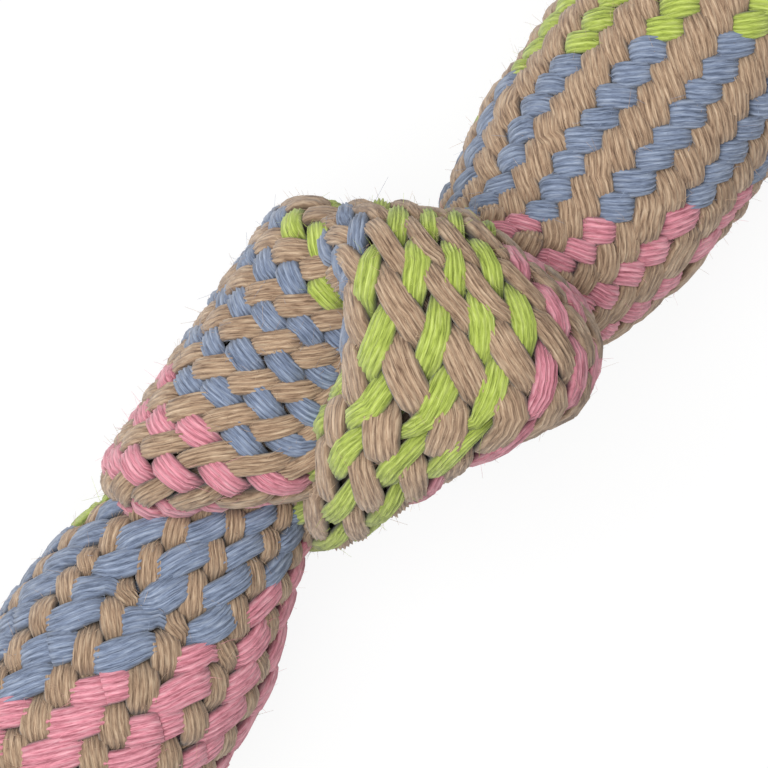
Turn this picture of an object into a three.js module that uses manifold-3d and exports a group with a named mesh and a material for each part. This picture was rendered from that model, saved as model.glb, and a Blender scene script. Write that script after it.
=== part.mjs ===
// Double-knot rope dog toy: one thick tubular braid over a filler core, tied in an overhand knot near
// each end, with the strand ends combed out into tassels. Millimetres, +Z up. The toy lies along X on
// the plane z = 0, and its second half is its first half turned half a turn about Z.
import * as THREE from 'three';
import { mergeVertices } from 'three/addons/utils/BufferGeometryUtils.js';
import Module from 'manifold-3d';

const wasm = await Module();
wasm.setup();

// Rope
const ROPE_RADIUS = 15;
const SLEEVE_WALL = 3.2;
const CORE_CLEARANCE = 0.3;

// Layout along the toy
const KNOT_SPACING = 140;      // between the middles of the two knots
const PIVOT_REACH = 32;        // from a knot's middle to the bend on each side of it
const TAIL_OFFSET = 11.3;      // the tail leaves its knot this far beside the middle stretch
const TAIL_BEND_SPACING = 26;  // from the bend at the knot to the bend at the tassel
const TASSEL_LENGTH = 46;

// Bends: each piece ends in a ball about the bend's middle, and the next one is hollowed to fit it
const BEND_BALL_RADIUS = 18;
const BEND_CLEARANCE = 0.4;
const STRAIGHT_BEFORE_BEND = 2;

// Tassel
const LOCKS_OUTSIDE = ['blue', 'hemp', 'green', 'hemp', 'pink', 'blue', 'hemp', 'green', 'hemp', 'pink'];
const LOCKS_INSIDE = ['core', 'core', 'core', 'core'];
const LOCK_GAP = 0.35;
const LOCK_TIP_RADIUS = 2.7;
const LOCK_BRUSH_RADIUS = 1.6; // of the small flat that a lock's rounded tip ends in
const LOCK_SPREAD = 0.8;       // how much wider than its root the tassel is at its tips
const LOCK_SAG = 0.12;         // how much of its height the tassel loses by its tips
const LOCK_LENGTH_STEP = 2.2;  // neighbouring locks differ by this

// Faces
const ROUND_SIDES = 20;
const STEPS_PER_STATION = 2;
const BALL_STEPS = 4;
const LOCK_SIDES = 7;
const LOCK_STEPS = 6;

// The rope's way through the knot, seen from above with the knot turned so that its first tail comes in
// from the lower left. Each station: x, y, z of the rope's middle, the direction of its width in degrees,
// half its width and half its thickness. The rope comes in low, folds up over the far edge, crosses the
// front as a round bulge that narrows to the near end, dives there, passes underneath, folds up round the
// left edge, and leaves between the first pass and the front one.
const KNOT_TURN = -54.5;
const KNOT_STATIONS = [
  [-22.0, -27.5, 15.0, 146, 14.2, 13.0],
  [-18.5, -21.5, 16.1, 147, 12.0, 10.8],
  [-12.5, -11.5, 17.0, 149, 9.0, 6.6],
  [-6.5, -1.5, 17.0, 152, 7.5, 5.5],
  [-1.8, 6.5, 17.6, 156, 8.0, 5.3],
  [1.0, 10.6, 21.6, 160, 8.2, 5.3],
  [3.9, 12.5, 28.4, 166, 8.4, 5.3],
  [6.8, 12.0, 34.4, 174, 9.2, 5.8],
  [10.0, 10.0, 36.0, 180, 11.0, 7.2],
  [12.2, 6.2, 35.8, 181, 13.0, 8.6],
  [12.9, 1.8, 35.2, 180, 13.8, 9.6],
  [11.6, -2.3, 34.2, 179, 13.2, 9.7],
  [7.6, -4.9, 33.2, 178, 10.8, 8.6],
  [3.6, -8.4, 30.8, 182, 7.8, 7.0],
  [0.0, -11.8, 25.8, 192, 5.8, 5.8],
  [-3.2, -14.9, 17.8, 206, 4.6, 5.0],
  [-5.6, -13.4, 9.5, 207, 8.0, 5.4],
  [-7.8, -9.8, 5.0, 212, 12.0, 5.3],
  [-10.2, -4.4, 4.6, 224, 16.0, 5.1],
  [-12.9, -0.8, 8.6, 233, 19.0, 4.8],
  [-14.7, 1.4, 16.9, 236, 20.6, 4.7],
  [-12.9, 1.3, 24.6, 236, 20.2, 5.0],
  [-7.8, 0.6, 27.2, 240, 17.8, 5.0],
  [-2.0, -0.2, 26.0, 249, 14.4, 5.4],
  [5.0, 0.5, 25.4, 268, 10.0, 6.6],
  [11.0, 4.2, 23.6, 290, 9.5, 8.6],
  [16.5, 9.0, 20.6, 305, 10.5, 11.0],
  [21.5, 14.7, 17.0, 314, 13.0, 13.0],
  [26.5, 21.0, 15.0, 318, 14.8, 14.4],
];
const KNOT_MIDDLE_OFFSET = 9.7;  // the middle stretch leaves this far beside the stations' origin
const PASS_ENDS = [5, 15, 24];   // stations where one pass of the rope through the knot ends

const COLOURS = { hemp: 0xa5876e, core: 0xb39a80, blue: 0x7d96be, green: 0xa8c646, pink: 0xdf8aa6 };
const HALF_WIDTH_OF_RIM = Math.sqrt(BEND_BALL_RADIUS ** 2 - ROPE_RADIUS ** 2);

function clothMaterial(colour) {
  return new THREE.MeshStandardMaterial({ color: COLOURS[colour], roughness: 0.95, metalness: 0 });
}

function addPiece(group, name, geometry, colour) {
  const mesh = new THREE.Mesh(geometry, clothMaterial(colour));
  mesh.name = name;
  group.add(mesh);
}

// A closed solid through rings of points, with a point closing each end.
function loft(rings, first, last) {
  const sides = rings[0].length;
  const corners = [...rings.flat(), first, last];
  const faces = [];
  const firstIndex = rings.length * sides;
  for (let side = 0; side < sides; side += 1) {
    const next = (side + 1) % sides;
    for (let ring = 0; ring + 1 < rings.length; ring += 1) {
      const low = ring * sides;
      const high = low + sides;
      faces.push(low + side, low + next, high + next);
      faces.push(low + side, high + next, high + side);
    }
    const end = (rings.length - 1) * sides;
    faces.push(firstIndex, next, side);
    faces.push(firstIndex + 1, end + side, end + next);
  }
  const geometry = new THREE.BufferGeometry().setFromPoints(corners);
  geometry.setIndex(faces);
  return geometry;
}

// The rope's section in the plane of side and out: an oval with half circles for its ends, or a circle
// where both halves match.
function ropeRing(middle, side, out, halfWidth, halfThickness) {
  const ring = [];
  const round = Math.min(halfWidth, halfThickness);
  for (let k = 0; k < ROUND_SIDES; k += 1) {
    const angle = ((k + 0.5) / ROUND_SIDES) * 2 * Math.PI - Math.PI / 2;
    const across = Math.sign(Math.cos(angle)) * (halfWidth - round) + round * Math.cos(angle);
    const outward = Math.sign(Math.sin(angle)) * (halfThickness - round) + round * Math.sin(angle);
    ring.push(middle.clone()
      .addScaledVector(side, across)
      .addScaledVector(out, -outward));
  }
  return ring;
}

function toManifold(geometry) {
  const plain = new THREE.BufferGeometry();
  plain.setAttribute('position', geometry.getAttribute('position').clone());
  plain.setIndex(geometry.getIndex() ? [...geometry.getIndex().array] : null);
  const merged = mergeVertices(plain);
  const vertProperties = new Float32Array(merged.getAttribute('position').array);
  const triVerts = new Uint32Array(merged.getIndex().array);
  return new wasm.Manifold(new wasm.Mesh({ numProp: 3, vertProperties, triVerts }));
}

function fromManifold(solid) {
  const mesh = solid.getMesh();
  const geometry = new THREE.BufferGeometry();
  geometry.setAttribute('position', new THREE.BufferAttribute(mesh.vertProperties, 3));
  geometry.setIndex(new THREE.BufferAttribute(mesh.triVerts, 1));
  return geometry;
}

// A station of the knot in the toy's own directions, measured from the knot's middle.
function turnedStation([x, y, z, sideDegrees, halfWidth, halfThickness]) {
  const turn = THREE.MathUtils.degToRad(KNOT_TURN);
  const middle = new THREE.Vector3(x, y, z).applyAxisAngle(new THREE.Vector3(0, 0, 1), turn);
  middle.y += KNOT_MIDDLE_OFFSET;
  return { middle, side: sideDegrees + KNOT_TURN, halfWidth, halfThickness };
}

// The free rope where it meets a bend, on the tail's side (-1) or the middle stretch's side (+1).
function ropeStation(end, distance) {
  const offset = end < 0 ? TAIL_OFFSET : 0;
  const middle = new THREE.Vector3(end * distance, offset, ROPE_RADIUS);
  const side = end < 0 ? 90 : 270;
  return { middle, side, halfWidth: ROPE_RADIUS, halfThickness: ROPE_RADIUS };
}

function knotRings() {
  const rim = PIVOT_REACH + HALF_WIDTH_OF_RIM;
  const stations = [
    ropeStation(-1, rim),
    ropeStation(-1, rim - STRAIGHT_BEFORE_BEND),
    ...KNOT_STATIONS.map(turnedStation),
    ropeStation(1, rim - STRAIGHT_BEFORE_BEND),
    ropeStation(1, rim),
  ];
  const path = new THREE.CatmullRomCurve3(stations.map((s) => s.middle), false, 'catmullrom', 0.5);
  const sizes = stations.map((s) => new THREE.Vector3(s.side, s.halfWidth, s.halfThickness));
  const sizePath = new THREE.CatmullRomCurve3(sizes, false, 'catmullrom', 0.5);
  const rings = [];
  const count = (stations.length - 1) * STEPS_PER_STATION;
  for (let step = 0; step <= count; step += 1) {
    const middle = path.getPoint(step / count);
    const tangent = path.getTangent(step / count);
    const size = sizePath.getPoint(step / count);
    const angle = THREE.MathUtils.degToRad(size.x);
    const side = new THREE.Vector3(Math.cos(angle), Math.sin(angle), 0);
    const out = new THREE.Vector3().crossVectors(side, tangent).normalize();
    rings.push({ middle, points: ropeRing(middle, side, out, size.y, size.z) });
  }
  return rings;
}

// Rings that round an end of the knot's rope off into the ball of its bend, from the rim to the tip.
function ballRings(end) {
  const rings = [];
  const startAngle = Math.asin(ROPE_RADIUS / BEND_BALL_RADIUS);
  const pivot = ropeStation(end, PIVOT_REACH).middle;
  const side = new THREE.Vector3(0, -end, 0);
  const out = new THREE.Vector3(0, 0, end);
  for (let step = 1; step < BALL_STEPS; step += 1) {
    const angle = startAngle * (1 - step / BALL_STEPS);
    const middle = pivot.clone();
    middle.x += end * BEND_BALL_RADIUS * Math.cos(angle);
    const radius = BEND_BALL_RADIUS * Math.sin(angle);
    rings.push(ropeRing(middle, side, out, radius, radius));
  }
  const tip = pivot.clone();
  tip.x += end * BEND_BALL_RADIUS;
  return { rings, tip };
}

// One overhand knot: its passes press into each other, so they are joined into one body, and a pocket
// that they shut in is filled.
function knotGeometry() {
  const rings = knotRings();
  const breaks = [0, ...PASS_ENDS.map((s) => (s + 2) * STEPS_PER_STATION), rings.length - 1];
  let knot = null;
  for (let pass = 0; pass + 1 < breaks.length; pass += 1) {
    const stretch = rings.slice(breaks[pass], breaks[pass + 1] + 1);
    let points = stretch.map((r) => r.points);
    let first = stretch[0].middle;
    let last = stretch[stretch.length - 1].middle;
    if (pass === 0) {
      const ball = ballRings(-1);
      points = [...ball.rings.reverse(), ...points];
      first = ball.tip;
    }
    if (pass + 2 === breaks.length) {
      const ball = ballRings(1);
      points = [...points, ...ball.rings];
      last = ball.tip;
    }
    const solid = toManifold(loft(points, first, last));
    knot = knot ? knot.add(solid) : solid;
  }
  const below = new THREE.BoxGeometry(4 * PIVOT_REACH, 4 * PIVOT_REACH, 2 * ROPE_RADIUS);
  below.translate(0, 0, -ROPE_RADIUS);
  const bodies = knot.subtract(toManifold(below)).decompose();
  return fromManifold(bodies.find((body) => body.volume() > 0));
}

// A spherical end of a free stretch, as lathe points from the inner radius to the outer one.
function ballProfile(middle, towards, radius, innerRadius, outerRadius) {
  const points = [];
  const startAngle = Math.asin(innerRadius / radius);
  const endAngle = Math.asin(outerRadius / radius);
  for (let step = 0; step <= BALL_STEPS; step += 1) {
    const angle = startAngle + ((endAngle - startAngle) * step) / BALL_STEPS;
    points.push(new THREE.Vector2(radius * Math.sin(angle), middle + towards * radius * Math.cos(angle)));
  }
  return points;
}

// A free stretch of rope along X: the braided sleeve or, with no inner radius, the core. Each end is
// { at, towards, radius }: a ball about x = at, met on its side towards.
function stretchGeometry(start, end, innerRadius, outerRadius) {
  const near = ballProfile(start.at, start.towards, start.radius, innerRadius, outerRadius);
  const far = ballProfile(end.at, end.towards, end.radius, innerRadius, outerRadius).reverse();
  const profile = [...near, ...far];
  if (innerRadius > 0) {
    profile.push(near[0].clone());
  }
  const geometry = new THREE.LatheGeometry(profile, ROUND_SIDES);
  geometry.rotateZ(-Math.PI / 2);
  return geometry;
}

function addStretch(group, name, start, end, y) {
  const coreRadius = ROPE_RADIUS - SLEEVE_WALL - CORE_CLEARANCE;
  const sleeve = stretchGeometry(start, end, ROPE_RADIUS - SLEEVE_WALL, ROPE_RADIUS);
  const core = stretchGeometry(start, end, 0, coreRadius);
  for (const [part, geometry, colour] of [['sleeve', sleeve, 'hemp'], ['core', core, 'core']]) {
    geometry.translate(0, y, ROPE_RADIUS);
    addPiece(group, `${name}_${part}`, geometry, colour);
  }
}

// One lock of loose strand ends. It leaves the rope's end at an angle round its axis, spreads sideways
// and sinks towards the floor, and its root is hollowed to fit the ball that it swings on.
function lockGeometry(pivot, ringRadius, rootRadius, angle, length) {
  const rings = [];
  const side = new THREE.Vector3(0, 1, 0);
  const out = new THREE.Vector3(0, 0, 1);
  const middles = [];
  for (let step = 0; step <= LOCK_STEPS; step += 1) {
    const share = step / LOCK_STEPS;
    const bend = share * share;
    const fullRadius = THREE.MathUtils.lerp(rootRadius, LOCK_TIP_RADIUS, share);
    const radius = step < LOCK_STEPS ? fullRadius : LOCK_BRUSH_RADIUS;
    const across = ringRadius * Math.cos(angle) * (1 + LOCK_SPREAD * bend);
    const rootHeight = ROPE_RADIUS + ringRadius * Math.sin(angle);
    const height = Math.max(fullRadius, rootHeight * (1 - LOCK_SAG * bend));
    const reach = HALF_WIDTH_OF_RIM / 2 + (length + HALF_WIDTH_OF_RIM / 2) * share;
    const middle = new THREE.Vector3(pivot.x - reach, pivot.y + across, height);
    const ring = [];
    for (let k = 0; k < LOCK_SIDES; k += 1) {
      const turn = ((k + 0.5) / LOCK_SIDES) * 2 * Math.PI - Math.PI / 2;
      ring.push(middle.clone()
        .addScaledVector(side, -radius * Math.cos(turn))
        .addScaledVector(out, radius * Math.sin(turn)));
    }
    rings.push(ring);
    middles.push(middle);
  }
  const socket = new THREE.SphereGeometry(BEND_BALL_RADIUS + BEND_CLEARANCE, 2 * ROUND_SIDES, ROUND_SIDES);
  socket.translate(pivot.x, pivot.y, pivot.z);
  const lock = toManifold(loft(rings, middles[0], middles[LOCK_STEPS]));
  return fromManifold(lock.subtract(toManifold(socket)));
}

// Locks lie in two circles at the rope's end, each as thick as its circle leaves room for.
function addTassel(group, name, pivot) {
  const outsideShare = Math.sin(Math.PI / LOCKS_OUTSIDE.length);
  const outsideRing = (ROPE_RADIUS - LOCK_GAP) / (1 + outsideShare);
  const outsideRadius = outsideRing * outsideShare - LOCK_GAP / 2;
  const room = outsideRing - outsideRadius - LOCK_GAP;
  const insideShare = Math.sin(Math.PI / LOCKS_INSIDE.length);
  const insideRing = room / (1 + insideShare);
  const insideRadius = insideRing * insideShare - LOCK_GAP / 2;
  const circles = [
    { locks: LOCKS_OUTSIDE, ring: outsideRing, radius: outsideRadius },
    { locks: LOCKS_INSIDE, ring: insideRing, radius: insideRadius },
  ];
  const counts = {};
  for (const { locks, ring, radius } of circles) {
    locks.forEach((colour, k) => {
      counts[colour] = (counts[colour] ?? 0) + 1;
      const angle = ((k + 0.5) / locks.length) * 2 * Math.PI;
      const length = TASSEL_LENGTH - LOCK_LENGTH_STEP * (k % 3);
      const geometry = lockGeometry(pivot, ring, radius, angle, length);
      addPiece(group, `${name}_${colour}_lock_${counts[colour]}`, geometry, colour);
    });
  }
}

// Half of the toy, from the middle of the rope out to one tassel.
function addHalf(group, letter) {
  const knot = knotGeometry();
  knot.translate(-KNOT_SPACING / 2, 0, 0);
  addPiece(group, `knot_${letter}`, knot, 'hemp');

  const tailBend = -KNOT_SPACING / 2 - PIVOT_REACH;
  const tasselBend = tailBend - TAIL_BEND_SPACING;
  const tasselEnd = { at: tasselBend, towards: -1, radius: BEND_BALL_RADIUS };
  const knotEnd = { at: tailBend, towards: -1, radius: BEND_BALL_RADIUS + BEND_CLEARANCE };
  addStretch(group, `tail_${letter}`, tasselEnd, knotEnd, TAIL_OFFSET);
  addTassel(group, `tassel_${letter}`, new THREE.Vector3(tasselBend, TAIL_OFFSET, ROPE_RADIUS));
}

const toy = new THREE.Group();
const firstHalf = new THREE.Group();
const secondHalf = new THREE.Group();
secondHalf.rotation.z = Math.PI;
addHalf(firstHalf, 'a');
addHalf(secondHalf, 'b');
toy.add(firstHalf, secondHalf);

const middleBend = KNOT_SPACING / 2 - PIVOT_REACH;
const middleBall = BEND_BALL_RADIUS + BEND_CLEARANCE;
addStretch(
  toy,
  'middle',
  { at: -middleBend, towards: 1, radius: middleBall },
  { at: middleBend, towards: -1, radius: middleBall },
  0,
);

export default toy;
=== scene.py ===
"""Looks of the rope dog toy: the braid's strands, its frayed tassels and its fuzz, laid on the CAD frame.

The rope is one round braid of 48 strands: 24 hemp-brown ones wind one way, and 8 blue, 8 green and 8 pink
ones wind the other way. They pass over two and under two, so that floats stand in columns along the rope.
Lengths are millimetres until a mesh is written.
"""

import math

import bmesh
import bpy
import numpy as np
from mathutils import Matrix, Vector


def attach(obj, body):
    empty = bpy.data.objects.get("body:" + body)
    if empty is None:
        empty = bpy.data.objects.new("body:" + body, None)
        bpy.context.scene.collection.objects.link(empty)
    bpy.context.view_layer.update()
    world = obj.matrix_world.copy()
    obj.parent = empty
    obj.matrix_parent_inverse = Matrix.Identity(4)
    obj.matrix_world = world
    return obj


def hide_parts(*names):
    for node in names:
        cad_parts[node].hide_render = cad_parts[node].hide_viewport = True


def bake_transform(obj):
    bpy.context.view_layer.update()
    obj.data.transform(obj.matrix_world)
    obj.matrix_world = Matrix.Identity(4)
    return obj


MM = 0.001
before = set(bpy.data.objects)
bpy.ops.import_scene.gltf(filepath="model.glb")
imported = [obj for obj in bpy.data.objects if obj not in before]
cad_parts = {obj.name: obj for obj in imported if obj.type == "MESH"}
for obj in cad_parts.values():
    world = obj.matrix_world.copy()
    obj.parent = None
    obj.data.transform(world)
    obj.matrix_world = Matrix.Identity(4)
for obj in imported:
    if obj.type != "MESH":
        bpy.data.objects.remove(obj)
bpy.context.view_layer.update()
scene = bpy.context.scene
chance = np.random.default_rng(7)

# The rope's layout, as in the CAD source
ROPE_RADIUS = 15.0
KNOT_SPACING = 140.0
PIVOT_REACH = 32.0
TAIL_OFFSET = 11.3
TAIL_BEND_SPACING = 26.0
TASSEL_LENGTH = 46.0
KNOT_TURN = -54.5
KNOT_MIDDLE_OFFSET = 9.7

# The rope's way through a knot, as in the CAD source: x, y, z of its middle, direction of its flat width in
# degrees, half width and half thickness. Then how the braid lies on it: length of rope for one strand's
# width, the share of the strands on its outer half, and how much wider than even they lie at that half's
# start.
KNOT_STATIONS = [
    (-22.0, -27.5, 15.0, 146, 14.2, 13.0, 4.6, 0.50, 0.00),
    (-18.5, -21.5, 16.1, 147, 12.0, 10.8, 4.2, 0.50, 0.00),
    (-12.5, -11.5, 17.0, 149, 9.0, 6.6, 3.2, 0.50, 0.00),
    (-6.5, -1.5, 17.0, 152, 7.5, 5.5, 3.0, 0.50, 0.00),
    (-1.8, 6.5, 17.6, 156, 8.0, 5.3, 3.0, 0.50, 0.00),
    (1.0, 10.6, 21.6, 160, 8.2, 5.3, 3.5, 0.54, 0.00),
    (3.9, 12.5, 28.4, 166, 8.4, 5.3, 6.0, 0.58, 0.20),
    (6.8, 12.0, 34.4, 174, 9.2, 5.8, 7.6, 0.60, 0.35),
    (10.0, 10.0, 36.0, 180, 11.0, 7.2, 7.6, 0.60, 0.50),
    (12.2, 6.2, 35.8, 181, 13.0, 8.6, 7.6, 0.60, 0.55),
    (12.9, 1.8, 35.2, 180, 13.8, 9.6, 7.8, 0.59, 0.55),
    (11.6, -2.3, 34.2, 179, 13.2, 9.7, 8.6, 0.56, 0.55),
    (7.6, -4.9, 33.2, 178, 10.8, 8.6, 10.0, 0.52, 0.50),
    (3.6, -8.4, 30.8, 182, 7.8, 7.0, 11.8, 0.42, 0.50),
    (0.0, -11.8, 25.8, 192, 5.8, 5.8, 12.4, 0.35, 0.50),
    (-3.2, -14.9, 17.8, 206, 4.6, 5.0, 10.0, 0.33, 0.45),
    (-5.6, -13.4, 9.5, 207, 8.0, 5.4, 2.8, 0.42, 0.00),
    (-7.8, -9.8, 5.0, 212, 12.0, 5.3, 2.8, 0.52, 0.00),
    (-10.2, -4.4, 4.6, 224, 16.0, 5.1, 2.8, 0.60, 0.00),
    (-12.9, -0.8, 8.6, 233, 19.0, 4.8, 3.2, 0.64, 0.00),
    (-14.7, 1.4, 16.9, 236, 20.6, 4.7, 5.0, 0.66, 0.00),
    (-12.9, 1.3, 24.6, 236, 20.2, 5.0, 5.0, 0.66, 0.00),
    (-7.8, 0.6, 27.2, 240, 17.8, 5.0, 5.0, 0.66, 0.00),
    (-2.0, -0.2, 26.0, 249, 14.4, 5.4, 4.6, 0.64, 0.00),
    (5.0, 0.5, 25.4, 268, 10.0, 6.6, 3.0, 0.58, 0.00),
    (11.0, 4.2, 23.6, 290, 9.5, 8.6, 2.8, 0.52, 0.00),
    (16.5, 9.0, 20.6, 305, 10.5, 11.0, 2.8, 0.50, 0.00),
    (21.5, 14.7, 17.0, 314, 13.0, 13.0, 3.0, 0.50, 0.00),
    (26.5, 21.0, 15.0, 318, 14.8, 14.4, 3.1, 0.50, 0.00),
]
# Turn of the braid round the rope in strands, from one station to the next one named
BRAID_TURNS = [(1, 0.0), (7, 4.3), (14, 4.3), (20, -3.6), (23, -3.6), (27, 5.25)]
TAIL_STATIONS = 5      # straight stations before the knot's first one
MIDDLE_STATIONS = 5    # and after its last one, up to the toy's middle
TAIL_PITCH = 4.6
MIDDLE_PITCH = 3.15
TAIL_BRAID_END = 69.5  # from the knot's middle to where the braid opens into the tassel
FRONT_STATION = 10.5   # the front pass, whose braid is pulled askew: one edge is ahead of the other
FRONT_REACH = 2.5      # stations to either side
FRONT_SKEW = 0.35      # strand widths that an edge is ahead or behind
MEETING_EASE = 45.0    # stretch before the toy's middle over which the braid is fitted to its other half
KNOT_PIECE = (2.6, 26.2)  # stations between which the strands belong to the knot's pieces
TABLE_ROWS = 6001      # rows of the rope's table

# Strands
STRANDS_EACH_WAY = 24
STRAND_COLOURS = ["blue"] * 8 + ["green"] * 8 + ["pink"] * 8
STRAND_INSET = 1.30    # the strands' middle surface lies this far inside the CAD rope
STRAND_LIFT = 0.86     # how far a strand rises over and sinks under the others
STRAND_CROWN = 1.08    # from a strand's middle to the top of its yarns
STRAND_FILL = {1: 0.90, -1: 0.98}  # coloured and hemp strands' width over the room that the braid gives
OVER_BIAS = {1: 0.08, -1: 0.30}    # how much longer than even they lie on top
TAIL_BIAS = 0.50       # how much more the coloured strands do in the looser tail, and the hemp ones less
FLOAT_BULGE = 0.48     # how much wider a strand is on top than half way down
YARNS_PER_STRAND = 5
YARN_RIDGE = 0.36
STEPS_PER_CROSSING = 5
FLOOR_GAP = 0.1        # what lies on the floor is pressed flat this far above it
COLUMN_PLACE = 0.25    # strands round the rope from its start to the first column of floats
FLOAT_EDGE = 1.7       # how steeply a float rises at its ends
TAIL_EASE = 6.0        # strand widths over which the looser tail turns into the tight knot
TIGHT_STATION = 3      # station from which on the braid is tight
WIDTH_DRIFT = 0.10     # share of a strand's width by which it wanders
RISE_DRIFT = 0.15
SIDE_DRIFT = 0.22
DRIFT_RATES = (0.9, 2.1, 4.3)
YARN_SWELL = 0.35      # how unevenly thick the yarns are
YARN_SWELL_RATE = 2.7
ARCH_SPAN = 0.9        # share of a half circle's width that a strand's top takes up
ARCH_HEIGHT = 0.95     # that half circle's height, and how far it is sunk, in crowns
ARCH_DROP = 0.05
UNDERSIDE = [(0.65, -0.6), (0.0, -0.75), (-0.65, -0.6)]  # a strand's flat underside, across and up
LOW_CROWN = 0.85       # share of its crown that a strand keeps under the others
LOW_RIDGE = 0.15       # how clearly its yarns stand out half way down
YARN_PHASE = 5         # how differently the yarns of a strand swell
DRIFT_SPREAD = (0.8, 1.25)  # slowest and fastest strand beside those rates
DRIFT_SCALE = 2        # what the sum of the waves is divided by
STRAND_PAINTED_LIGHT = {"ground": 0.22, "ridge": 0.42, "lift": 0.38}  # painted shade: how light a strand is painted, between its yarns, on their ridges and where it rides on top
EDGE_LIGHT = 1.2       # painted shade: over 1, so that a strand is painted darker only near its edges
EDGE_FALL = 0.7
STREAK_STEP = 3.7      # how far apart strands, and yarns of one strand, lie in the pattern of streaks
YARN_STREAK_STEP = 0.6
MAP_MARGIN = 0.04      # free share of a row at either side in the map for baked patterns

YARN_TONES = {
    "hemp": ((104, 80, 62), (168, 140, 114), (206, 182, 154)),
    "core": ((120, 95, 72), (176, 150, 122), (206, 184, 156)),
    "blue": ((76, 87, 108), (123, 136, 160), (162, 173, 192)),
    "green": ((114, 128, 46), (170, 187, 82), (200, 212, 124)),
    "pink": ((156, 84, 96), (212, 135, 149), (232, 174, 183)),
}


def linear(colour):
    """A colour given as the screen shows it, 0 to 255, as the numbers a shader takes."""
    values = np.array(colour, float) / 255
    low = values / 12.92
    high = ((values + 0.055) / 1.055) ** 2.4
    return tuple(float(v) for v in np.where(values <= 0.04045, low, high))


def knot_point(x, y):
    """A point beside the knot, seen as its stations are, in the toy's directions."""
    turn = math.radians(KNOT_TURN)
    along = x * math.cos(turn) - y * math.sin(turn) - KNOT_SPACING / 2
    across = x * math.sin(turn) + y * math.cos(turn) + KNOT_MIDDLE_OFFSET
    return along, across


# Camera: straight above the first knot, turned as the photograph is
VIEW_WIDTH = 86.6
VIEW_HEIGHT = 25.0
VIEW_DISTANCE = 500.0
VIEW_MIDDLE = (3.27, -1.35)
SENSOR_WIDTH = 36.0


def add_camera():
    camera = bpy.data.objects.new("camera", bpy.data.cameras.new("camera"))
    scene.collection.objects.link(camera)
    camera.data.sensor_width = SENSOR_WIDTH
    camera.data.lens = SENSOR_WIDTH * VIEW_DISTANCE / VIEW_WIDTH
    camera.data.clip_start = 0.01
    camera.data.clip_end = 10
    x, y = knot_point(*VIEW_MIDDLE)
    turn = math.radians(KNOT_TURN)
    place = Matrix.Translation(Vector((x, y, VIEW_HEIGHT + VIEW_DISTANCE)) * MM)
    camera.matrix_world = place @ Matrix.Rotation(turn, 4, "Z")
    scene.camera = camera


add_camera()


def spline(rows, place):
    """Uniform Catmull-Rom curve through rows, at places counted in rows."""
    rows = np.asarray(rows, float)
    ends = np.concatenate([[2 * rows[0] - rows[1]], rows, [2 * rows[-1] - rows[-2]]])
    index = np.clip(place.astype(int), 0, len(rows) - 2)
    share = (place - index)[:, None]
    a, b, c, d = (ends[index + k] for k in range(4))
    line = 2 * b + (c - a) * share
    bend = (2 * a - 5 * b + 4 * c - d) * share**2 + (3 * b - a - 3 * c + d) * share**3
    return 0.5 * (line + bend)


def rope_stations():
    """All stations of half the toy, from the tassel's root to the toy's middle, in the toy's directions."""
    turned = []
    for x, y, z, side, *rest in KNOT_STATIONS:
        along, across = knot_point(x, y)
        turned.append((along, across, z, side + KNOT_TURN, *rest))
    tail_far = -KNOT_SPACING / 2 - TAIL_BRAID_END
    tail_near = turned[0][0]
    tail = []
    for k in range(TAIL_STATIONS):
        x = tail_far + (tail_near - tail_far) * k / TAIL_STATIONS
        tail.append((x, TAIL_OFFSET, ROPE_RADIUS, 90, ROPE_RADIUS, ROPE_RADIUS, TAIL_PITCH, 0.5, 0.0))
    middle = []
    for k in range(1, MIDDLE_STATIONS + 1):
        x = turned[-1][0] * (1 - k / MIDDLE_STATIONS)
        middle.append((x, 0, ROPE_RADIUS, 270, ROPE_RADIUS, ROPE_RADIUS, MIDDLE_PITCH, 0.5, 0.0))
    return np.array(tail + turned + middle)


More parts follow.
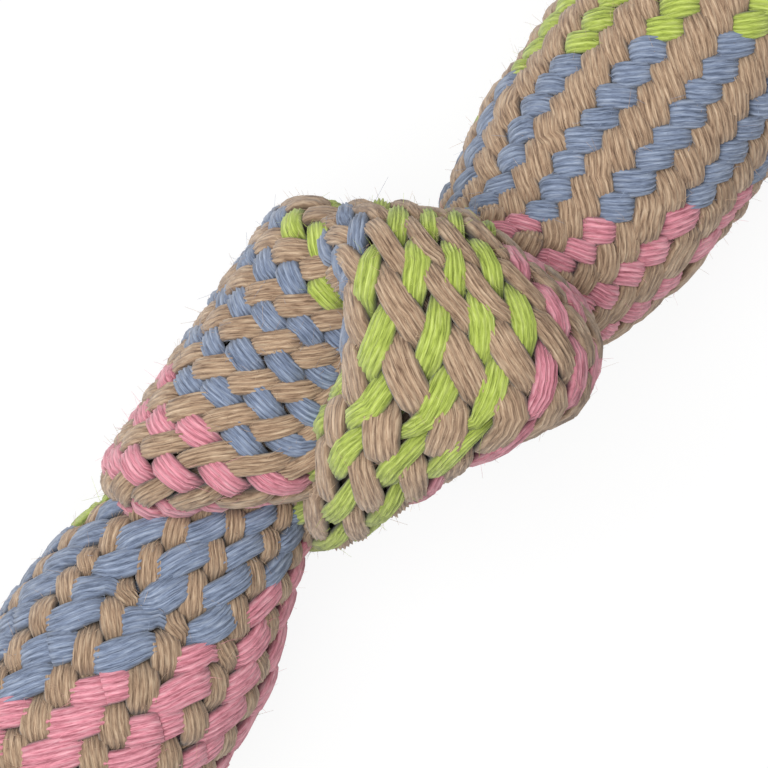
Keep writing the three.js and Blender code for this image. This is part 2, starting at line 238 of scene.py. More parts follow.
class Rope:
    """Half of the toy's rope as a surface: u counts strand widths along it, v strands round it."""

    def __init__(self):
        stations = rope_stations()
        self.place = np.linspace(0, len(stations) - 1, TABLE_ROWS)
        values = spline(stations, self.place)
        self.middle = values[:, :3]
        tangent = np.gradient(self.middle, axis=0)
        self.ahead = tangent / np.linalg.norm(tangent, axis=1)[:, None]
        angle = np.radians(values[:, 3])
        self.side = np.stack([np.cos(angle), np.sin(angle), 0 * angle], 1)
        out = np.cross(self.side, self.ahead)
        self.out = out / np.linalg.norm(out, axis=1)[:, None]
        self.half_width = values[:, 4]
        self.half_thickness = values[:, 5]
        self.share = values[:, 7]
        self.lean = values[:, 8]
        from_front = (self.place - TAIL_STATIONS - FRONT_STATION) / FRONT_REACH
        self.skew = FRONT_SKEW * np.exp(-(from_front**2))
        facing_up = np.clip(1 + self.out[:, 2], 0, 1)
        crest = self.middle + self.out * (self.half_thickness * facing_up)[:, None]
        step = np.linalg.norm(np.diff(crest, axis=0), axis=1)
        self.u = np.concatenate([[0], np.cumsum(step / values[1:, 6])])
        self.roll = self.braid_turn()
        # At the toy's middle the strands of both halves have to meet, which they do at half counts
        top = STRANDS_EACH_WAY / 4 + self.roll[-1]
        self.meeting = round(2 * (self.u[-1] + top)) / 2
        slack = self.meeting - top - self.u[-1]
        ease = np.clip(1 + self.middle[:, 0] / MEETING_EASE, 0, 1)
        self.u = self.u + slack * ease

    def u_at(self, station):
        """u at a station counted from the knot's first one."""
        return float(np.interp(TAIL_STATIONS + station, self.place, self.u))

    def braid_turn(self):
        """Turn of the braid along the rope, eased from one named station to the next."""
        turn = np.full(len(self.u), BRAID_TURNS[0][1])
        for (first, before), (last, after) in zip(BRAID_TURNS[:-1], BRAID_TURNS[1:]):
            share = (self.u - self.u_at(first)) / (self.u_at(last) - self.u_at(first))
            share = np.clip(share, 0, 1)
            turn += (after - before) * share**2 * (3 - 2 * share)
        return turn

    def at(self, u, values):
        """Values of the rope's table at u."""
        if values.ndim == 1:
            return np.interp(u, self.u, values)
        return np.stack([np.interp(u, self.u, column) for column in values.T], -1)

    def point(self, u, v, inset=STRAND_INSET):
        """The surface's point at u and v: an oval of the rope's size there, by length round it."""
        share = self.at(u, self.share)
        turn = ((v - self.at(u, self.roll)) / STRANDS_EACH_WAY) % 1
        outer = turn / share
        outer = 0.5 * outer * (1 + self.at(u, self.lean) * (1 - outer))
        inner = 0.5 + (turn - share) / (2 - 2 * share)
        turn = np.where(turn < share, outer, inner)
        u = u + self.at(u, self.skew) * np.cos(2 * math.pi * turn)
        thick = self.at(u, self.half_thickness) - inset
        wide = self.at(u, self.half_width) - inset
        bow = np.minimum(wide, thick)
        flat = wide - bow
        upright = thick - bow
        quarter = math.pi * bow / 2
        half = 2 * (quarter + flat + upright)
        length = turn * 2 * half
        back = length >= half
        length = np.where(back, length - half, length)
        rising = np.clip(length, 0, upright)
        first_bow = np.clip(length - upright, 0, quarter) / bow
        crossing = np.clip(length - upright - quarter, 0, 2 * flat)
        last_bow = np.clip(length - upright - quarter - 2 * flat, 0, quarter) / bow
        falling = np.clip(length - half + upright, 0, upright)
        x = flat - crossing + bow * (np.cos(first_bow) - np.sin(last_bow))
        y = rising - falling + bow * (np.sin(first_bow) + np.cos(last_bow) - 1)
        sign = np.where(back, -1.0, 1.0)
        across = (sign * x)[..., None] * self.at(u, self.side)
        out = (sign * y)[..., None] * self.at(u, self.out)
        return self.at(u, self.middle) + across + out

    def spot(self, u, v):
        """Point, direction along u per count, direction along v per count, and outward normal."""
        near = 0.02
        point = self.point(u, v)
        along = (self.point(u + near, v) - self.point(u - near, v)) / (2 * near)
        round_it = (self.point(u, v + near) - self.point(u, v - near)) / (2 * near)
        normal = np.cross(along, round_it)
        normal /= np.linalg.norm(normal, axis=-1)[..., None] + 1e-12
        return point, along, round_it, normal


rope = Rope()


def strand_outline():
    """A strand's outline for a width and crown of 1: yarns side by side on top, a flat underside."""
    count = 2 * YARNS_PER_STRAND + 1
    across = np.linspace(-1, 1, count)
    height = ARCH_HEIGHT * np.sqrt(1 - (ARCH_SPAN * across) ** 2) - ARCH_DROP
    ridge = np.arange(count) % 2
    under_across, under_height = zip(*UNDERSIDE)
    across = np.concatenate([across, under_across])
    height = np.concatenate([height, under_height])
    ridge = np.concatenate([ridge, np.zeros(len(UNDERSIDE), int)])
    return across, height, ridge


def drift(u, count, size):
    """Slow seeded wandering of that size along u, one row for each of count strands."""
    total = np.zeros((count, len(u)))
    for rate in DRIFT_RATES:
        phase = chance.uniform(0, 2 * math.pi, (count, 1))
        total += np.sin(rate * u[None, :] * chance.uniform(*DRIFT_SPREAD, (count, 1)) + phase)
    return size * total / DRIFT_SCALE


def strand_lift(u, v, way):
    """How high a strand rides: coloured strands (way 1) are over where hemp ones (way -1) are under."""
    loose = np.clip((rope.u_at(TIGHT_STATION) - u) / TAIL_EASE, 0, 1)
    wave = np.cos(math.pi * (v - COLUMN_PLACE)) + TAIL_BIAS * loose
    return np.tanh(FLOAT_EDGE * (way * wave + OVER_BIAS[way]))


def strand_path(numbers, u, way):
    """Middle line of strands on the rope: points, width direction, normal, room and lift."""
    start = np.asarray(numbers, float)[:, None] + 0.5
    u_all = np.broadcast_to(u[None, :], (len(start), len(u)))
    v = start - way * u_all
    point, along, round_it, normal = rope.spot(u_all, v)
    ahead = along - way * round_it
    room = np.linalg.norm(np.cross(along, round_it), axis=-1) / np.linalg.norm(ahead, axis=-1)
    ahead /= np.linalg.norm(ahead, axis=-1)[..., None]
    width = np.cross(normal, ahead)
    return point, width, normal, room, strand_lift(u_all, v, way)


def strand_rings(numbers, u, way):
    """Rings of points round strands, with where each point lies in its yarns and how light it is painted, as
    painted shade between the yarns and under the others.
    """
    point, width, normal, room, lift = strand_path(numbers, u, way)
    count = len(numbers)
    half = 0.5 * room * (STRAND_FILL[way] + FLOAT_BULGE * lift) * (1 + drift(u, count, WIDTH_DRIFT))
    rise = STRAND_LIFT * lift + drift(u, count, RISE_DRIFT)
    shift = drift(u, count, SIDE_DRIFT)
    across, height, ridge = strand_outline()
    yarn_tone = chance.normal(0, 1, (count, 1, YARNS_PER_STRAND))
    yarn_of = np.clip((across + 1) / 2 * YARNS_PER_STRAND, 0, YARNS_PER_STRAND - 1).astype(int)
    wave = u[None, :, None] * YARN_SWELL_RATE + yarn_tone[:, :, yarn_of] * YARN_PHASE
    swell = 1 + YARN_SWELL * np.sin(wave)
    on_top = np.clip(LOW_RIDGE + (1 - LOW_RIDGE) * lift, 0, 1)[..., None]
    crown = STRAND_CROWN * (LOW_CROWN + (1 - LOW_CROWN) * on_top)
    top = crown * height + YARN_RIDGE * on_top * ridge * swell
    x = shift[..., None] + half[..., None] * across
    y = rise[..., None] + top
    rings = point[:, :, None] + width[:, :, None] * x[..., None] + normal[:, :, None] * y[..., None]
    rings[..., 2] = np.maximum(rings[..., 2], FLOOR_GAP)
    steps = np.linalg.norm(np.diff(point, axis=1), axis=-1)
    length = np.concatenate([np.zeros((count, 1)), np.cumsum(steps, axis=1)], axis=1)
    own_streaks = np.asarray(numbers, float)[:, None, None] * STREAK_STEP
    own_streaks = own_streaks + yarn_tone[:, :, yarn_of] * YARN_STREAK_STEP
    fibre = np.stack(np.broadcast_arrays(
        length[..., None],
        half[..., None] * across,
        own_streaks,
    ), -1)
    # painted shade: darker between the yarns and where a strand sinks under the others, darkest on its
    # underside
    painted_light = STRAND_PAINTED_LIGHT["ground"] + STRAND_PAINTED_LIGHT["ridge"] * ridge + STRAND_PAINTED_LIGHT["lift"] * lift[..., None]
    painted_light = np.clip(painted_light, 0, 1)
    # painted shade towards a strand's edges, where it turns down beside its neighbours
    edge = np.clip(EDGE_LIGHT - EDGE_FALL * np.abs(across) ** 3, 0, 1)
    painted_light = np.where(height < 0, 0.0, painted_light * edge)
    return rings, fibre, np.broadcast_to(painted_light, rings.shape[:3])


def tube_mesh(name, rings, fibre, painted_light):
    """One mesh of many tubes, from rings of points (tubes, steps, sides, xyz)."""
    count, steps, sides = rings.shape[:3]
    rows = count * steps
    bm = bmesh.new()
    bmesh.ops.create_grid(bm, x_segments=sides, y_segments=rows - 1, size=1)
    bm.verts.ensure_lookup_table()
    bm.faces.ensure_lookup_table()
    between = []
    for row in range(steps - 1, rows - 1, steps):
        between += bm.faces[row * sides:(row + 1) * sides]
    seam = {}
    for row in range(rows):
        first = row * (sides + 1)
        seam[bm.verts[first + sides]] = bm.verts[first]
    bmesh.ops.delete(bm, geom=between, context="FACES")
    bmesh.ops.weld_verts(bm, targetmap=seam)
    open_edges = [edge for edge in bm.edges if edge.is_boundary]
    bmesh.ops.holes_fill(bm, edges=open_edges, sides=sides)
    for face in bm.faces:
        face.smooth = True
    mesh = bpy.data.meshes.new(name)
    bm.to_mesh(mesh)
    bm.free()
    mesh.vertices.foreach_set("co", (rings * MM).astype(np.float32).ravel())
    lies = mesh.attributes.new("fibre", "FLOAT_VECTOR", "POINT")
    lies.data.foreach_set("vector", fibre.astype(np.float32).ravel())
    painted_light_attribute = mesh.attributes.new("painted_light", "FLOAT", "POINT")
    painted_light_attribute.data.foreach_set("value", painted_light.astype(np.float32).ravel())
    lay_out_map(mesh, rings)
    mesh.update()
    return mesh


def lay_out_map(mesh, rings):
    """A map with every face of the tubes laid out once, in rows, for baked patterns."""
    count, steps, sides = rings.shape[:3]
    corner = np.empty(len(mesh.loops), np.int32)
    mesh.loops.foreach_get("vertex_index", corner)
    quads = 4 * count * (steps - 1) * sides
    row = corner // sides
    column = (corner % sides).astype(float)
    four_rows = row[:quads].reshape(-1, 4)
    four_columns = column[:quads].reshape(-1, 4)
    round_seam = np.ptp(four_columns, axis=1) > 1
    four_columns[round_seam] = np.where(four_columns[round_seam] == 0, sides, four_columns[round_seam])
    tile = four_rows.min(1, keepdims=True)
    length = np.linalg.norm(rings[:, 1:] - rings[:, :-1], axis=-1).mean()
    girth = np.linalg.norm(np.roll(rings, -1, 2) - rings, axis=-1).sum(-1).mean()
    tiles = max(1, round(math.sqrt(count * steps * girth / length)))
    bands = math.ceil(count * steps / tiles)
    places = np.zeros((len(corner), 2))
    places[:quads, 0] = ((tile % tiles + four_rows - tile) / tiles).ravel()
    up = MAP_MARGIN + (1 - 2 * MAP_MARGIN) * four_columns / sides
    places[:quads, 1] = ((tile // tiles + up) / bands).ravel()
    layer = mesh.uv_layers.new(name="OFBake")
    layer.data.foreach_set("uv", places.astype(np.float32).ravel())


def yarn_material(slot, tones):
    """Twisted matt yarn: streaks along the fibre, painted shade in the creases between yarns and a soft
    sheen.
    """
    dark, plain, light = (linear(t) for t in tones)
    material = bpy.data.materials.new(f"{slot}_yarn")
    material.use_nodes = True
    nodes = material.node_tree.nodes
    links = material.node_tree.links
    shader = nodes["Principled BSDF"]
    shader.inputs["Roughness"].default_value = 0.92
    shader.inputs["Specular IOR Level"].default_value = 0.2
    shader.inputs["Sheen Weight"].default_value = 0.25
    shader.inputs["Sheen Roughness"].default_value = 0.6

    lies = nodes.new("ShaderNodeAttribute")
    lies.attribute_name = "fibre"
    stretch = nodes.new("ShaderNodeMapping")
    stretch.inputs["Scale"].default_value = (0.5, 5.5, 1.0)
    links.new(lies.outputs["Vector"], stretch.inputs["Vector"])
    streaks = nodes.new("ShaderNodeTexNoise")
    streaks.inputs["Scale"].default_value = 1.0
    streaks.inputs["Detail"].default_value = 4.0
    streaks.inputs["Roughness"].default_value = 0.65
    links.new(stretch.outputs["Vector"], streaks.inputs["Vector"])

    ramp = nodes.new("ShaderNodeValToRGB")
    ramp.color_ramp.elements[0].position = 0.32
    ramp.color_ramp.elements[0].color = (*dark, 1)
    ramp.color_ramp.elements[1].position = 0.70
    ramp.color_ramp.elements[1].color = (*light, 1)
    between = ramp.color_ramp.elements.new(0.5)
    between.color = (*plain, 1)
    links.new(streaks.outputs["Fac"], ramp.inputs["Fac"])

    # painted light: a per-point value scales the colour, darker for painted shade and lighter for fibres
    # painted pale
    painted_light_attribute = nodes.new("ShaderNodeAttribute")
    painted_light_attribute.attribute_name = "painted_light"
    shade = nodes.new("ShaderNodeMapRange")
    shade.clamp = False
    shade.inputs["From Min"].default_value = 0.0
    shade.inputs["From Max"].default_value = 1.0
    shade.inputs["To Min"].default_value = 0.15
    shade.inputs["To Max"].default_value = 1.12
    links.new(painted_light_attribute.outputs["Fac"], shade.inputs["Value"])
    shaded = nodes.new("ShaderNodeMix")
    shaded.data_type = "RGBA"
    shaded.blend_type = "MULTIPLY"
    shaded.clamp_result = True
    shaded.inputs["Factor"].default_value = 1.0
    links.new(ramp.outputs["Color"], shaded.inputs["A"])
    links.new(shade.outputs["Result"], shaded.inputs["B"])
    links.new(shaded.outputs["Result"], shader.inputs["Base Color"])

    bump = nodes.new("ShaderNodeBump")
    bump.inputs["Strength"].default_value = 0.5
    bump.inputs["Distance"].default_value = 0.25 * MM
    links.new(streaks.outputs["Fac"], bump.inputs["Height"])
    links.new(bump.outputs["Normal"], shader.inputs["Normal"])
    return material


yarns = {slot: yarn_material(slot, tones) for slot, tones in YARN_TONES.items()}

# Stretches of the rope and where they bend, as distances from the toy's middle
TAIL_BEND = KNOT_SPACING / 2 + PIVOT_REACH


def half_turn(points):
    """Points turned half a turn about Z, from the first half of the toy to the second."""
    return points * np.array([-1.0, -1.0, 1.0])


def add_piece(name, mesh, slot):
    piece = bpy.data.objects.new(name, mesh)
    scene.collection.objects.link(piece)
    mesh.materials.append(yarns[slot])
    return piece


def bend(piece, stretch, letter):
    """Makes a knot's piece follow its knot's body; a piece of any other stretch only has its placement
    applied to its mesh.
    """
    if stretch == "knot":
        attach(piece, f"knot_{letter}")
        return
    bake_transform(piece)


tail_split = -TAIL_BEND - TAIL_BEND_SPACING / 2
tail_rows = rope.place <= TAIL_STATIONS
u_split = float(np.interp(tail_split, rope.middle[tail_rows, 0], rope.u[tail_rows]))
u_knot = [rope.u_at(station) for station in KNOT_PIECE]
STRETCHES = {
    "end": (0.0, u_split),
    "tail": (u_split, u_knot[0]),
    "knot": (u_knot[0], u_knot[1]),
    "middle": (u_knot[1], float(rope.u[-1])),
}


def colour_of(number, letter):
    """A coloured strand's slot. The second half's strands take up those they meet in the middle."""
    if letter == "a":
        return STRAND_COLOURS[number]
    other = int(2 * rope.meeting) - 1 - number
    return STRAND_COLOURS[other % STRANDS_EACH_WAY]


def add_strands():
    """The 48 strands of each half, in one piece for each stretch and colour."""
    made = {}
    for stretch, (first, last) in STRETCHES.items():
        steps = math.ceil((last - first) * STEPS_PER_CROSSING) + 1
        u = np.linspace(first, last, steps)
        numbers = list(range(STRANDS_EACH_WAY))
        laid = {
            "hemp": strand_rings(numbers, u, -1),
            "coloured": strand_rings(numbers, u, 1),
        }
        for letter in "ab":
            groups = {"hemp": ("hemp", numbers)}
            for slot in ("blue", "green", "pink"):
                chosen = [n for n in numbers if colour_of(n, letter) == slot]
                groups[slot] = ("coloured", chosen)
            for slot, (kind, chosen) in groups.items():
                rings, fibre, painted_light = (part[chosen] for part in laid[kind])
                if letter == "b":
                    rings = half_turn(rings)
                name = f"{stretch}_{letter}_{slot}_strands"
                mesh = tube_mesh(name, rings, fibre, painted_light)
                made[name] = add_piece(name, mesh, slot)
                bend(made[name], stretch, letter)
    return made


strands = add_strands()


LINING_DEPTH = 0.45    # from the lowest strands' middle down to the filler
# painted shade: how light the filler is painted, which makes it a dark ground
LINING_PAINTED_SHADE = 0.22
LINING_STEPS = 2       # rings of the filler for each strand width
LINING_STREAKS = 0.5   # steps in the pattern of streaks for each millimetre


def add_linings():
    """The filler under the strands, which shows only between them, as a ground made dark by painted shade.
    """
    made = {}
    for stretch, (first, last) in STRETCHES.items():
        u = np.linspace(first, last, math.ceil((last - first) * LINING_STEPS) + 1)
        v = np.linspace(0, STRANDS_EACH_WAY, STRANDS_EACH_WAY, endpoint=False)
        u_all, v_all = np.meshgrid(u, -v, indexing="ij")
        rings = rope.point(u_all, v_all, STRAND_INSET + STRAND_LIFT + LINING_DEPTH)[None]
        rings[..., 2] = np.maximum(rings[..., 2], 2 * FLOOR_GAP)
        fibre = rings * LINING_STREAKS
        # painted shade: the whole filler is painted dark
        painted_light = np.full(rings.shape[:3], LINING_PAINTED_SHADE)
        for letter in "ab":
            placed = rings if letter == "a" else half_turn(rings)
            name = f"{stretch}_{letter}_filler"
            mesh = tube_mesh(name, placed, fibre, painted_light)
            made[name] = add_piece(name, mesh, "core")
            bend(made[name], stretch, letter)
    return made


linings = add_linings()

# Tassels
YARNS_PER_LOOSE_STRAND = 4
CORE_YARNS = 44
LOOSE_STEPS = 15
LOOSE_SIDES = 6
LOOSE_RADIUS = 0.62
LOOSE_CHOICE = (0.8, 1.15)  # thinnest and thickest yarns beside that
LOOSE_TAPER = 0.25
LOOSE_TIP = 0.36       # radius of the very end
LOOSE_PAINTED_SHADE = (0.45, 0.85)  # painted shade: how light a yarn is painted at its root, where the yarns crowd, and at its end
LOOSE_STREAK_STEP = 1.3  # from yarn to yarn in the pattern of streaks
TASSEL_SPREAD = 0.8
TASSEL_SAG = 0.12
TASSEL_FAN = 1.7       # how late the yarns begin to spread
LONGEST_EXTRA = 8.0    # the longest yarn's length past the CAD locks, and how much shorter others are
LENGTH_CHOICE = 9.0
WAVES = 6.0            # how far along the drift's waves a yarn's length reaches
WAVE_SIDE = 1.3
WAVE_UP = 1.1
LEAN_SIDE = 2.0
LEAN_UP = 1.2
ROOT_PLACES = (0.15, 0.3)  # strand widths from the braid's end, the first being the yarns' root
ROOT_SPREAD = 0.36     # share of a strand's room to either side of its middle
CORE_MARGIN = 5.0      # between the filler's outer yarns and the rope's surface
CORE_DEPTH = 1.0       # the filler's yarns start this far inside the braid


def loose_yarns(roots, count_along):
    """Rings of loose yarns from their roots in the rope's end, fanning out and sinking a little."""
    count = len(roots)
    share = np.linspace(0, 1, count_along)[None, :]
    length = TASSEL_LENGTH + LONGEST_EXTRA - chance.uniform(0, LENGTH_CHOICE, (count, 1))
    y_root = roots[:, 1:2] - TAIL_OFFSET
    z_root = roots[:, 2:3]
    fan = share**TASSEL_FAN
    wave_y = drift(WAVES * share[0], count, WAVE_SIDE) * fan
    wave_z = drift(WAVES * share[0], count, WAVE_UP) * fan
    lean = chance.normal(0, LEAN_SIDE, (count, 1)) * fan
    x = roots[:, :1] - length * share
    y = TAIL_OFFSET + y_root * (1 + TASSEL_SPREAD * fan) + wave_y + lean
    z = z_root * (1 - TASSEL_SAG * fan) + wave_z + chance.normal(0, LEAN_UP, (count, 1)) * fan
    z = np.maximum(z, LOOSE_RADIUS + FLOOR_GAP)
    middle = np.stack([x, y, z], -1)
    tangent = np.gradient(middle, axis=1)
    tangent /= np.linalg.norm(tangent, axis=-1)[..., None]
    side = np.cross(tangent, [0.0, 0.0, 1.0])
    side /= np.linalg.norm(side, axis=-1)[..., None]
    out = np.cross(side, tangent)
    thin = LOOSE_RADIUS * chance.uniform(*LOOSE_CHOICE, (count, 1)) * (1 - LOOSE_TAPER * share)
    thin[:, -1] = LOOSE_TIP
    turn = np.arange(LOOSE_SIDES) / LOOSE_SIDES * 2 * math.pi
    round_it = side[:, :, None] * np.cos(turn)[:, None] - out[:, :, None] * np.sin(turn)[:, None]
    rings = middle[:, :, None] + thin[..., None, None] * round_it
    fibre = np.stack(np.broadcast_arrays(
        (length * share)[..., None],
        (turn / 2)[None, None],
        np.arange(count, dtype=float)[:, None, None] * LOOSE_STREAK_STEP,
    ), -1)
    # painted shade towards a yarn's root
    painted_light = np.linspace(*LOOSE_PAINTED_SHADE, count_along)[None, :, None]
    painted_light = np.broadcast_to(painted_light, rings.shape[:3])
    return rings, fibre, painted_light


def strand_ends(numbers, way):
    """Roots of the loose yarns of strands, side by side across each strand's end."""
    u = np.array(ROOT_PLACES)
    point, width, normal, room, lift = strand_path(numbers, u, way)
    place = np.linspace(-ROOT_SPREAD, ROOT_SPREAD, YARNS_PER_LOOSE_STRAND)
    roots = point[:, :1] + width[:, :1] * (room[:, :1] * place)[..., None]
    roots = roots + normal[:, :1] * (STRAND_LIFT * lift[:, :1])[..., None]
    return roots.reshape(-1, 3)


def core_ends():
    """Roots of the filler's yarns, spread evenly over the rope's end."""
    number = np.arange(CORE_YARNS)
    radius = (ROPE_RADIUS - CORE_MARGIN) * np.sqrt((number + 0.5) / CORE_YARNS)
    turn = number * math.pi * (3 - math.sqrt(5))
    x = np.full(CORE_YARNS, rope.middle[0, 0] + CORE_DEPTH)
    return np.stack([x, TAIL_OFFSET + radius * np.cos(turn), ROPE_RADIUS + radius * np.sin(turn)], -1)


def add_tassels():
    numbers = list(range(STRANDS_EACH_WAY))
    made = {}
    laid = {}
    for slot in ("hemp", "core"):
        roots = strand_ends(numbers, -1) if slot == "hemp" else core_ends()
        laid[slot] = loose_yarns(roots, LOOSE_STEPS)
    coloured = loose_yarns(strand_ends(numbers, 1), LOOSE_STEPS)
    for letter in "ab":
        parts = dict(laid)
        for slot in ("blue", "green", "pink"):
            owner = [colour_of(n, letter) == slot for n in numbers for _ in range(YARNS_PER_LOOSE_STRAND)]
            parts[slot] = tuple(part[np.array(owner)] for part in coloured)
        for slot, (rings, fibre, painted_light) in parts.items():
            placed = rings if letter == "a" else half_turn(rings)
            name = f"tassel_{letter}_{slot}_yarns"
            mesh = tube_mesh(name, placed, fibre, painted_light)
            made[name] = add_piece(name, mesh, slot)
            bend(made[name], "end", letter)
    return made


tassels = add_tassels()

# Fuzz: loose fibres that stand out of the yarns
FUZZ_PER_STRETCH = {"end": 7000, "tail": 7000, "knot": 56000, "middle": 13000}
FUZZ_LENGTH = (0.5, 1.7)
FUZZ_SHORTNESS = 2     # the higher, the more fibres are short ones
FUZZ_RADIUS = 0.03
FUZZ_STEPS = 3
FUZZ_SIDES = 3
FUZZ_ROOM = 1.5        # a fibre grows only where this much is free above its root
PASS_SPACING = 6       # strand widths along the rope from which on it counts as another pass
SLICE_HALF = 1.5       # half the thickness of the slices in which other passes are looked for
SLICE_ROWS = 20        # rows of the rope's table from slice to slice
FUZZ_END_GAP = 0.3     # strand widths at a stretch's ends without fuzz
FUZZ_LEAST_LIFT = 0.2  # how high a strand has to ride to have fuzz
FUZZ_SINK = 0.5        # the roots lie this far inside the strands
FUZZ_SCATTER = 0.5     # and about this far to the side of a strand's middle
FUZZ_LEAN = {"along": (0.3, 1.0), "out": (0.05, 0.45), "side": 0.6}
FUZZ_CURL = 0.7
FUZZ_DROOP = 0.3       # how much the fibres curl back to the rope
FUZZ_TAPER = 0.6
FUZZ_STREAKS = 0.3     # steps in the pattern of streaks for each millimetre
# painted highlight: how light a fibre is painted, mostly lighter than its strand
FUZZ_PAINTED_HIGHLIGHT = (0.9, 1.4)
FUZZ_PORTIONS = {-1: 0.7, 1: 0.3}  # of the hemp strands and of the coloured ones


def free_above(u, point):
    """Whether points beside the rope at u lie outside of all its other passes."""
    free = np.ones(len(point), bool)
    for k in range(0, len(rope.u), SLICE_ROWS):
        away = point - rope.middle[k]
        near = np.abs(away @ rope.ahead[k]) < SLICE_HALF
        wide = (away @ rope.side[k]) / rope.half_width[k]
        thick = (away @ rope.out[k]) / rope.half_thickness[k]
        other = np.abs(u - rope.u[k]) > PASS_SPACING
        free &= ~(other & near & (wide**2 + thick**2 < 1))
    return free


def fuzz(way, first, last, count):
    """Rings of loose fibres rooted on top of random strands, leaning along them and curling."""
    number = chance.integers(0, STRANDS_EACH_WAY, count)
    u = chance.uniform(first + FUZZ_END_GAP, last - FUZZ_END_GAP, count)
    v = number + 0.5 - way * u
    point, along, round_it, normal = rope.spot(u, v)
    raised = strand_lift(u, v, way) > FUZZ_LEAST_LIFT
    grows = raised & free_above(u, point + FUZZ_ROOM * normal)
    number, point, along, round_it, normal = (
        part[grows] for part in (number, point, along, round_it, normal)
    )
    count = len(number)
    ahead = along - way * round_it
    ahead /= np.linalg.norm(ahead, axis=-1)[:, None]
    width = np.cross(normal, ahead)
    height = (ARCH_HEIGHT - ARCH_DROP) * STRAND_CROWN + STRAND_LIFT - FUZZ_SINK
    root = point + normal * height + width * chance.normal(0, FUZZ_SCATTER, (count, 1))
    both_ways = chance.choice([-1.0, 1.0], (count, 1))
    lean = ahead * both_ways * chance.uniform(*FUZZ_LEAN["along"], (count, 1))
    lean += normal * chance.uniform(*FUZZ_LEAN["out"], (count, 1))
    lean += width * chance.normal(0, FUZZ_LEAN["side"], (count, 1))
    lean /= np.linalg.norm(lean, axis=1)[:, None]
    curl = chance.normal(0, FUZZ_CURL, (count, 3)) - FUZZ_DROOP * normal
    shortest, longest = FUZZ_LENGTH
    choice = chance.uniform(0, 1, (count, 1, 1)) ** FUZZ_SHORTNESS
    length = shortest + (longest - shortest) * choice
    share = np.linspace(0, 1, FUZZ_STEPS)[None, :, None]
    middle = root[:, None] + length * (lean[:, None] * share + curl[:, None] * share**2)
    middle[..., 2] = np.maximum(middle[..., 2], FLOOR_GAP)
    side = np.cross(lean, curl)
    side /= np.linalg.norm(side, axis=1)[:, None]
    out = np.cross(side, lean)
    turn = np.arange(FUZZ_SIDES) / FUZZ_SIDES * 2 * math.pi
    round_it = side[:, None] * np.cos(turn)[:, None] - out[:, None] * np.sin(turn)[:, None]
    thin = FUZZ_RADIUS * (1 - FUZZ_TAPER * share)
    rings = middle[:, :, None] + thin[..., None] * round_it[:, None]
    fibre = rings * FUZZ_STREAKS
    # painted highlight: fibres painted lighter than the strands they grow from
    painted_highlight = chance.uniform(*FUZZ_PAINTED_HIGHLIGHT, (count, 1, 1))
    return number, rings, fibre, np.broadcast_to(painted_highlight, rings.shape[:3])


def add_fuzz():
    for stretch, (first, last) in STRETCHES.items():
        for way, portion in FUZZ_PORTIONS.items():
            number, *parts = fuzz(way, first, last, round(portion * FUZZ_PER_STRETCH[stretch]))
            for letter in "ab":
                slots = np.array([colour_of(n, letter) if way > 0 else "hemp" for n in number])
                for slot in np.unique(slots):
                    rings, fibre, painted_light = (part[slots == slot] for part in parts)
                    if letter == "b":
                        rings = half_turn(rings)
                    name = f"{stretch}_{letter}_{slot}_fuzz"
                    piece = add_piece(name, tube_mesh(name, rings, fibre, painted_light), slot)
                    bend(piece, stretch, letter)


add_fuzz()

# The CAD parts that the pieces stand in for are hidden
for letter in "ab":
    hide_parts(f"knot_{letter}")
    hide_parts(f"tail_{letter}_sleeve")
    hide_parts(f"tail_{letter}_core")
    for slot in YARN_TONES:
        locks = [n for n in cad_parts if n.startswith(f"tassel_{letter}_{slot}_lock")]
        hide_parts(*locks)
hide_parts("middle_sleeve")
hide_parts("middle_core")


# Floor and light
FLOOR_REACH = 3.0      # metres to either side
FLOOR_WHITENESS = 0.9  # share of the floor that the camera sees as plain white, the rest keeping the shadow
SURROUND_STRENGTH = 0.6
LAMP_SIZE = 0.8
LAMP_POWER = 9.0
LAMP_PLACE = (-0.25, 0.25, 0.9)
LAMP_AIM = (-0.07, 0.0, 0.0)


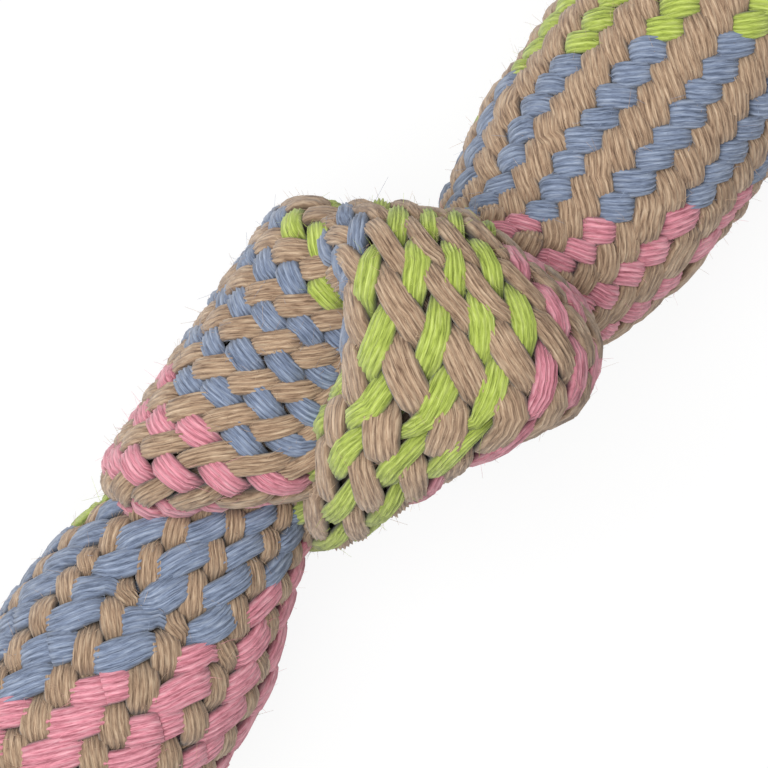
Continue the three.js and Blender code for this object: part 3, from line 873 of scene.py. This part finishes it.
def add_floor():
    """A plain pale floor that shows as white and keeps a soft shadow."""
    bm = bmesh.new()
    bmesh.ops.create_grid(bm, x_segments=1, y_segments=1, size=FLOOR_REACH)
    mesh = bpy.data.meshes.new("floor")
    bm.to_mesh(mesh)
    bm.free()
    mesh.transform(Matrix.Translation((0, 0, -FLOOR_GAP * MM)))
    floor = bpy.data.objects.new("floor", mesh)
    scene.collection.objects.link(floor)
    material = bpy.data.materials.new("pale_floor")
    material.use_nodes = True
    nodes = material.node_tree.nodes
    links = material.node_tree.links
    paint = nodes["Principled BSDF"]
    paint.inputs["Base Color"].default_value = (0.9, 0.9, 0.9, 1)
    paint.inputs["Roughness"].default_value = 0.9
    glow = nodes.new("ShaderNodeEmission")
    glow.inputs["Color"].default_value = (1, 1, 1, 1)
    rays = nodes.new("ShaderNodeLightPath")
    share = nodes.new("ShaderNodeMath")
    share.operation = "MULTIPLY"
    share.inputs[1].default_value = FLOOR_WHITENESS
    links.new(rays.outputs["Is Camera Ray"], share.inputs[0])
    mix = nodes.new("ShaderNodeMixShader")
    links.new(share.outputs["Value"], mix.inputs["Fac"])
    links.new(paint.outputs["BSDF"], mix.inputs[1])
    links.new(glow.outputs["Emission"], mix.inputs[2])
    links.new(mix.outputs["Shader"], nodes["Material Output"].inputs["Surface"])
    mesh.materials.append(material)


def add_light():
    """Even studio light: a bright surround and one large soft lamp overhead."""
    world = bpy.data.worlds.new("studio")
    world.use_nodes = True
    surround = world.node_tree.nodes["Background"]
    surround.inputs["Color"].default_value = (1, 1, 1, 1)
    surround.inputs["Strength"].default_value = SURROUND_STRENGTH
    scene.world = world
    lamp = bpy.data.lights.new("soft_lamp", "AREA")
    lamp.shape = "SQUARE"
    lamp.size = LAMP_SIZE
    lamp.energy = LAMP_POWER
    holder = bpy.data.objects.new("soft_lamp", lamp)
    holder.location = LAMP_PLACE
    aim = Vector(LAMP_AIM) - holder.location
    holder.rotation_mode = "QUATERNION"
    holder.rotation_quaternion = aim.to_track_quat("-Z", "Y")
    scene.collection.objects.link(holder)


add_floor()
add_light()
scene.view_settings.view_transform = "Standard"
